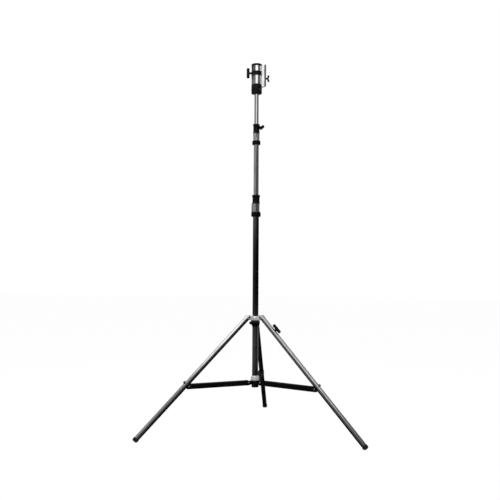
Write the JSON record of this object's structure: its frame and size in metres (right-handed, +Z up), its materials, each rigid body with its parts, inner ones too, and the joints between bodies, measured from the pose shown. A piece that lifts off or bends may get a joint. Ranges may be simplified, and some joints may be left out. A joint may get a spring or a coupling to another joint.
{
  "type": "combo stand",
  "caption": "Folding tripod stand with a telescopic column, horizontal braces, a levelling leg and a head that receives junior and baby spigots.",
  "frame": {"origin": "on the column's axis at floor level", "axes": "+Z up the column, +Y over the rear leg, +X to the levelling leg's side"},
  "size_m": [1.2438, 1.0815, 2.141],
  "materials": {
    "dark_chrome": "chrome-plated steel tube, darker and slightly worn",
    "bright_chrome": "bright chrome-plated steel",
    "plated_casting": "chrome-plated die-cast aluminium",
    "leg_chrome": "chrome-plated steel leg tube",
    "cast_silver": "die-cast aluminium, clear satin finish",
    "black_casting": "black powder-coated casting",
    "black_brace": "black powder-coated steel channel",
    "black_plastic": "black glass-filled nylon",
    "foot_rubber": "black rubber",
    "screw_steel": "zinc-plated steel",
    "pad_brass": "turned brass",
    "guide_nylon": "natural nylon",
    "receiver_steel": "bored steel"
  },
  "bodies": {
    "base": {"base_tube": "dark_chrome", "base_bottom_cap": "black_plastic", "hub_lock_ring": "bright_chrome", "brace_hub": "black_casting", "hub_dome": "cast_silver", "hub_rivets": "screw_steel", "base_collar_ring": "black_casting", "base_collar_sleeve": "cast_silver", "base_clamp_collar": "black_casting"},
    "base_pad": {"base_lock_pad": "pad_brass"},
    "base_handle": {"base_lock_screw": "screw_steel", "base_lock_handle": "black_plastic"},
    "riser_1_carrier": {"riser_1_guide": "guide_nylon"},
    "riser_1": {"riser_1_tube": "dark_chrome", "riser_1_collar_ring": "black_casting", "riser_1_collar_sleeve": "cast_silver", "riser_1_clamp_collar": "black_casting"},
    "riser_1_pad": {"riser_1_lock_pad": "pad_brass"},
    "riser_1_handle": {"riser_1_lock_screw": "screw_steel", "riser_1_lock_handle": "black_plastic"},
    "riser_2_carrier": {"riser_2_guide": "guide_nylon"},
    "riser_2": {"riser_2_tube": "bright_chrome", "head_socket": "black_casting", "head_set_screws": "screw_steel", "head_body": "plated_casting", "head_top_ring": "black_casting", "head_clamp_band": "black_casting", "junior_sleeve": "receiver_steel", "baby_block": "cast_silver"},
    "head_pad": {"head_lock_pad": "pad_brass"},
    "head_handle": {"head_lock_screw": "screw_steel", "head_lock_handle": "black_plastic"},
    "baby_pad": {"baby_lock_pad": "pad_brass"},
    "wing_screw": {"baby_wing_screw": "black_casting"},
    "leg_collar": {"leg_collar_casting": "cast_silver", "leg_collar_sleeve": "black_casting", "leg_pivot_bolts": "screw_steel"},
    "leg_collar_pad": {"leg_collar_lock_pad": "pad_brass"},
    "leg_collar_handle": {"leg_collar_lock_screw": "screw_steel", "leg_collar_lock_handle": "black_plastic"},
    "brace_rear": {"brace_rear": "black_brace"},
    "brace_left": {"brace_left": "black_brace"},
    "brace_right": {"brace_right": "black_brace"},
    "leg_left": {"leg_left_tube": "leg_chrome", "leg_left_bracket": "black_casting", "leg_left_fasteners": "screw_steel", "foot_left": "foot_rubber"},
    "leg_rear": {"leg_rear_tube": "leg_chrome", "leg_rear_bracket": "black_casting", "leg_rear_fasteners": "screw_steel", "foot_rear": "foot_rubber"},
    "leg_right": {"leg_right_tube": "leg_chrome", "leg_right_bracket": "black_casting", "leg_right_fasteners": "screw_steel"},
    "levelling_leg": {"levelling_tube": "leg_chrome", "foot_right": "foot_rubber"},
    "levelling_pad": {"levelling_lock_pad": "pad_brass"},
    "levelling_handle": {"levelling_lock_screw": "screw_steel", "levelling_lock_handle": "black_plastic"}
  },
  "joints": [
    {"name": "riser_1_slide", "type": "slide", "parent": "base", "child": "riser_1_carrier", "axis": [0, 0, 1], "range_m": [-0.295, 0.6]},
    {"name": "riser_1_turn", "type": "hinge", "parent": "riser_1_carrier", "child": "riser_1", "pos_m": [0, 0, 0.595], "axis": [0, 0, 1], "continuous": true},
    {"name": "riser_2_slide", "type": "slide", "parent": "riser_1", "child": "riser_2_carrier", "axis": [0, 0, 1], "range_m": [-0.165, 0.7]},
    {"name": "riser_2_turn", "type": "hinge", "parent": "riser_2_carrier", "child": "riser_2", "pos_m": [0, 0, 0.875], "axis": [0, 0, 1], "continuous": true},
    {"name": "leg_collar_slide", "type": "slide", "parent": "base", "child": "leg_collar", "axis": [0, 0, 1], "range_m": [0, 0.5]},
    {"name": "brace_rear_fold", "type": "hinge", "parent": "base", "child": "brace_rear", "pos_m": [0, 0.045, 0.277], "axis": [1, 0, 0], "range_deg": [-0.01, 84.15]},
    {"name": "leg_rear_fold", "type": "hinge", "parent": "brace_rear", "child": "leg_rear", "pos_m": [0, 0.40476, 0.277], "axis": [1, 0, 0], "range_deg": [-123.95, 0.01]},
    {"name": "brace_left_fold", "type": "hinge", "parent": "base", "child": "brace_left", "pos_m": [-0.03897, -0.0225, 0.277], "axis": [-0.5, 0.866, 0], "range_deg": [-0.01, 84.15]},
    {"name": "leg_left_fold", "type": "hinge", "parent": "brace_left", "child": "leg_left", "pos_m": [-0.35053, -0.20238, 0.277], "axis": [-0.5, 0.866, 0], "range_deg": [-123.95, 0.01]},
    {"name": "brace_right_fold", "type": "hinge", "parent": "base", "child": "brace_right", "pos_m": [0.03897, -0.0225, 0.277], "axis": [-0.5, -0.866, 0], "range_deg": [-0.01, 84.15]},
    {"name": "leg_right_fold", "type": "hinge", "parent": "brace_right", "child": "leg_right", "pos_m": [0.35053, -0.20238, 0.277], "axis": [-0.5, -0.866, 0], "range_deg": [-123.95, 0.01]},
    {"name": "levelling_slide", "type": "slide", "parent": "leg_right", "child": "levelling_leg", "axis": [0.618, -0.3568, -0.7005], "range_m": [0, 0.25]},
    {"name": "base_pad_slide", "type": "slide", "parent": "base", "child": "base_pad", "axis": [-0.309, 0.9511, 0], "range_m": [0, 0.00188]},
    {"name": "base_handle_turn", "type": "hinge", "parent": "base_pad", "child": "base_handle", "pos_m": [-0.01112, 0.03424, 1.332], "axis": [-0.309, 0.9511, 0], "range_deg": [0, 450]},
    {"name": "riser_1_pad_slide", "type": "slide", "parent": "riser_1", "child": "riser_1_pad", "axis": [0.9455, 0.3256, 0], "range_m": [0, 0.00188]},
    {"name": "riser_1_handle_turn", "type": "hinge", "parent": "riser_1_pad", "child": "riser_1_handle", "pos_m": [0.03168, 0.01091, 1.7675], "axis": [0.9455, 0.3256, 0], "range_deg": [0, 450]},
    {"name": "head_pad_slide", "type": "slide", "parent": "riser_2", "child": "head_pad", "axis": [-0.9945, -0.1045, 0], "range_m": [0, 0.00188]},
    {"name": "head_handle_turn", "type": "hinge", "parent": "head_pad", "child": "head_handle", "pos_m": [-0.05072, -0.00533, 2.089], "axis": [-0.9945, -0.1045, 0], "range_deg": [0, 450]},
    {"name": "baby_pad_slide", "type": "slide", "parent": "riser_2", "child": "baby_pad", "axis": [0.9945, 0.1045, 0], "range_m": [0, 0.00188]},
    {"name": "baby_handle_turn", "type": "hinge", "parent": "baby_pad", "child": "wing_screw", "pos_m": [0.05967, 0.00627, 2.057], "axis": [0.9945, 0.1045, 0], "range_deg": [0, 450]},
    {"name": "leg_collar_pad_slide", "type": "slide", "parent": "leg_collar", "child": "leg_collar_pad", "axis": [0, -1, 0], "range_m": [0, 0.00188]},
    {"name": "leg_collar_handle_turn", "type": "hinge", "parent": "leg_collar_pad", "child": "leg_collar_handle", "pos_m": [0, -0.046, 0.622], "axis": [0, -1, 0], "range_deg": [0, 450]},
    {"name": "levelling_pad_slide", "type": "slide", "parent": "leg_right", "child": "levelling_pad", "axis": [0.6067, -0.3503, 0.7136], "range_m": [0, 0.00188]},
    {"name": "levelling_handle_turn", "type": "hinge", "parent": "levelling_pad", "child": "levelling_handle", "pos_m": [0.12967, -0.07487, 0.59249], "axis": [0.6067, -0.3503, 0.7136], "range_deg": [0, 450]}
  ],
  "couplings": [
    {"joint": "brace_rear_fold", "follows": "leg_collar_slide", "rad_per_m": 2.9369},
    {"joint": "leg_rear_fold", "follows": "leg_collar_slide", "rad_per_m": -4.3265},
    {"joint": "brace_left_fold", "follows": "leg_collar_slide", "rad_per_m": 2.9369},
    {"joint": "leg_left_fold", "follows": "leg_collar_slide", "rad_per_m": -4.3265},
    {"joint": "brace_right_fold", "follows": "leg_collar_slide", "rad_per_m": 2.9369},
    {"joint": "leg_right_fold", "follows": "leg_collar_slide", "rad_per_m": -4.3265},
    {"joint": "base_pad_slide", "follows": "base_handle_turn", "m_per_rad": 0.00023873},
    {"joint": "riser_1_pad_slide", "follows": "riser_1_handle_turn", "m_per_rad": 0.00023873},
    {"joint": "head_pad_slide", "follows": "head_handle_turn", "m_per_rad": 0.00023873},
    {"joint": "baby_pad_slide", "follows": "baby_handle_turn", "m_per_rad": 0.00023873},
    {"joint": "leg_collar_pad_slide", "follows": "leg_collar_handle_turn", "m_per_rad": 0.00023873},
    {"joint": "levelling_pad_slide", "follows": "levelling_handle_turn", "m_per_rad": 0.00023873}
  ]
}
